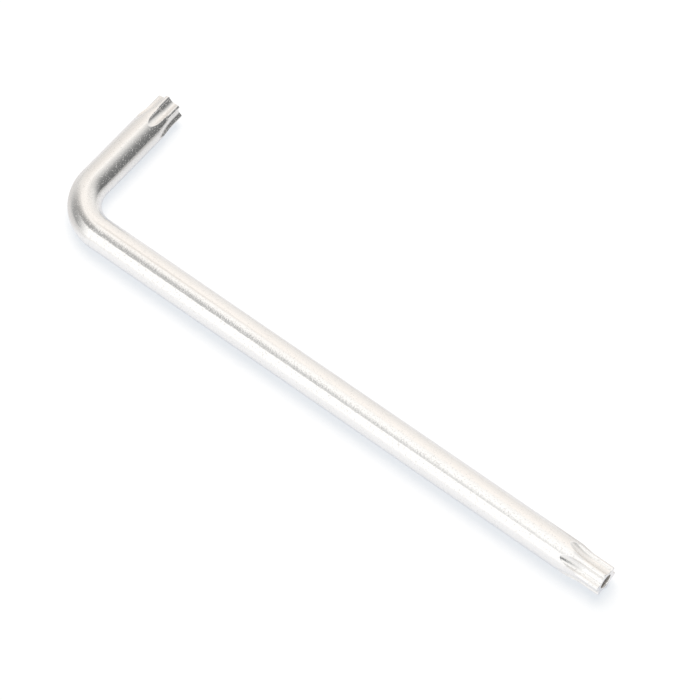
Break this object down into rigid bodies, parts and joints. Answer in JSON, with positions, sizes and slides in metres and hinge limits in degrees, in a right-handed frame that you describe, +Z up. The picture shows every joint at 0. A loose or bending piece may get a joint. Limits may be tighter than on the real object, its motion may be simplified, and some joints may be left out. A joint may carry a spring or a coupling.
{
  "type": "star key",
  "caption": "L-shaped key bent from plated round steel bar, with a drilled lobed star tip on each arm, for turning pinned or plain star-socket screws.",
  "frame": {"origin": "middle of the key's bounding box, on the surface that it lies on", "axes": "+X along the long arm towards its tip, +Y along the short arm towards its tip, +Z up from the surface that the key lies on"},
  "size_m": [0.12, 0.0314, 0.006],
  "materials": {
    "plated_steel": "satin nickel plate"
  },
  "bodies": {
    "root": {"long_star_tip": "plated_steel", "long_arm": "plated_steel", "bend": "plated_steel", "short_arm": "plated_steel", "short_star_tip": "plated_steel"}
  },
  "joints": []
}
